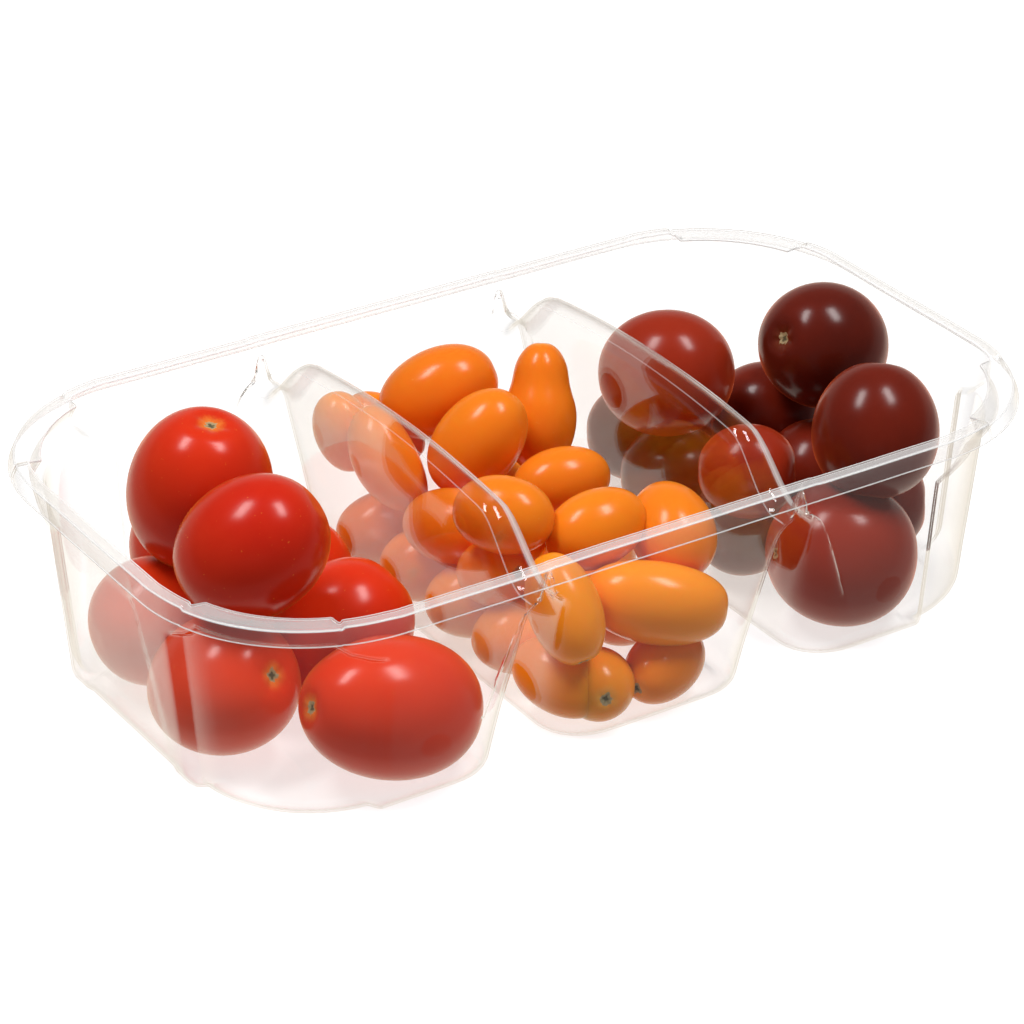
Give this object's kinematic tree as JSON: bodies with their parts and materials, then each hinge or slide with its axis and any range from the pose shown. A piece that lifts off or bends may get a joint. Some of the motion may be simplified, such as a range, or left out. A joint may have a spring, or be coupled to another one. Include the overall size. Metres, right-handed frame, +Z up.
{
  "type": "punnet of cherry tomatoes",
  "caption": "Clear open food tray with a rolled rim and two hollow dividers; its three cups hold small red, orange and dark brown tomatoes.",
  "frame": {"origin": "middle of the tray's footprint, on the surface that it stands on", "axes": "+X along the tray across its three cups, +Y across the tray, +Z up out of the cups"},
  "size_m": [0.1924, 0.1144, 0.0568],
  "materials": {
    "clear_film": "clear thermoformed film, glossy",
    "red_tomato": "smooth waxy tomato skin, glossy",
    "orange_tomato": "smooth waxy tomato skin, glossy",
    "brown_tomato": "smooth waxy tomato skin, glossy"
  },
  "bodies": {
    "root": {"tray": "clear_film", "red_tomatoes": "red_tomato", "orange_tomatoes": "orange_tomato", "brown_tomatoes": "brown_tomato"}
  },
  "joints": []
}
